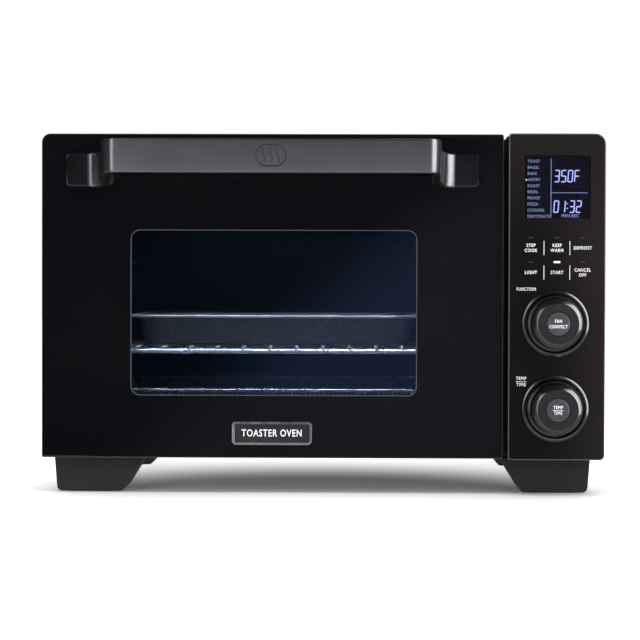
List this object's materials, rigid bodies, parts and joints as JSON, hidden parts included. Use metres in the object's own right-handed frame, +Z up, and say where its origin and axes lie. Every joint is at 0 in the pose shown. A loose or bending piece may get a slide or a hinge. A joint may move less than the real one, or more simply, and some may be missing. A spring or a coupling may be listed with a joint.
{
  "type": "toaster oven",
  "caption": "Countertop convection toaster oven with a drop-down glass door, side control panel, display and push knobs, and a pan on a wire rack inside.",
  "frame": {"origin": "on the floor, under the middle of the object's bounding box", "axes": "+X to the right seen from the front, +Y to the back, +Z up; the door faces -Y"},
  "size_m": [0.48, 0.412, 0.308],
  "materials": {
    "painted_steel": "satin",
    "sheet_steel": "plain galvanised",
    "dark_enamel": "semi-gloss enamel",
    "pan_enamel": "speckled enamel",
    "bright_wire": "polished",
    "heater_sheath": "dull",
    "black_plastic": "fine texture",
    "panel_plastic": "satin",
    "satin_black_metal": "satin",
    "badge_metal": "satin",
    "knob_cap": "spun",
    "door_glass": "tinted",
    "lcd_lens": "gloss",
    "lcd": "display",
    "lamp_glass": "frosted",
    "rubber": "matte",
    "ceramic": "unglazed",
    "circuit_board": "solder mask"
  },
  "bodies": {
    "root": {"outer_cover": "painted_steel", "rear_cover": "painted_steel", "rear_bumper_left": "black_plastic", "rear_bumper_right": "black_plastic", "cord_gland": "black_plastic", "base_plate": "sheet_steel", "front_frame": "painted_steel", "door_seal": "rubber", "foot_front_left": "black_plastic", "foot_front_right": "black_plastic", "foot_rear_left": "black_plastic", "foot_rear_right": "black_plastic", "foot_pad_front_left": "rubber", "foot_pad_front_right": "rubber", "foot_pad_rear_left": "rubber", "foot_pad_rear_right": "rubber", "cavity_liner": "dark_enamel", "rack_guide_left": "sheet_steel", "rack_guide_right": "sheet_steel", "heater_upper": "heater_sheath", "heater_lower": "heater_sheath", "heater_terminal_upper": "ceramic", "heater_terminal_lower": "ceramic", "crumb_tray": "sheet_steel", "air_fry_basket": "bright_wire", "fan_housing": "sheet_steel", "fan_motor": "sheet_steel", "lamp_lens": "lamp_glass", "lamp_holder": "ceramic", "temperature_probe": "sheet_steel", "heat_shield": "sheet_steel", "hinge_bracket_left": "sheet_steel", "hinge_bracket_right": "sheet_steel", "hinge_pin_left": "sheet_steel", "hinge_pin_right": "sheet_steel", "hinge_spring_left": "sheet_steel", "hinge_spring_right": "sheet_steel", "control_panel": "panel_plastic", "lcd_lens": "lcd_lens", "lcd_module": "lcd", "control_board": "circuit_board", "knob_bezel_function": "satin_black_metal", "knob_bezel_temp": "satin_black_metal", "encoder_function": "sheet_steel", "encoder_temp": "sheet_steel", "power_board": "circuit_board"},
    "door": {"door_outer_glass": "door_glass", "door_inner_glass": "door_glass", "door_frame": "black_plastic", "door_inner_panel": "dark_enamel", "badge": "badge_metal", "door_handle": "satin_black_metal"},
    "rack": {"wire_rack": "bright_wire", "baking_pan": "pan_enamel"},
    "fan": {"fan_blade": "sheet_steel"},
    "function_knob": {"knob_function": "satin_black_metal"},
    "temp_knob": {"knob_temp": "satin_black_metal"},
    "function_button": {"knob_button_function": "knob_cap"},
    "temp_button": {"knob_button_temp": "knob_cap"}
  },
  "joints": [
    {"name": "door_hinge", "type": "hinge", "parent": "root", "child": "door", "pos_m": [-0.04275, -0.16, 0.045], "axis": [1, 0, 0], "range_deg": [0, 88]},
    {"name": "rack_slide", "type": "slide", "parent": "root", "child": "rack", "axis": [0, -1, 0], "range_m": [0, 0.105]},
    {"name": "fan_spin", "type": "hinge", "parent": "root", "child": "fan", "pos_m": [0.13, 0.01, 0.16], "axis": [1, 0, 0], "continuous": true},
    {"name": "function_knob_turn", "type": "hinge", "parent": "root", "child": "function_knob", "pos_m": [0.1978, -0.193, 0.147], "axis": [0, -1, 0], "continuous": true},
    {"name": "temp_knob_turn", "type": "hinge", "parent": "root", "child": "temp_knob", "pos_m": [0.1978, -0.193, 0.0748], "axis": [0, -1, 0], "continuous": true},
    {"name": "function_button_push", "type": "slide", "parent": "root", "child": "function_button", "axis": [0, 1, 0], "range_m": [0, 0.0015], "stiffness_N_per_m": 600, "springref_m": -0.0005},
    {"name": "temp_button_push", "type": "slide", "parent": "root", "child": "temp_button", "axis": [0, 1, 0], "range_m": [0, 0.0015], "stiffness_N_per_m": 600, "springref_m": -0.0005}
  ],
  "couplings": [
    {"joint": "rack_slide", "follows": "door_hinge", "m_per_rad": 0.068}
  ]
}
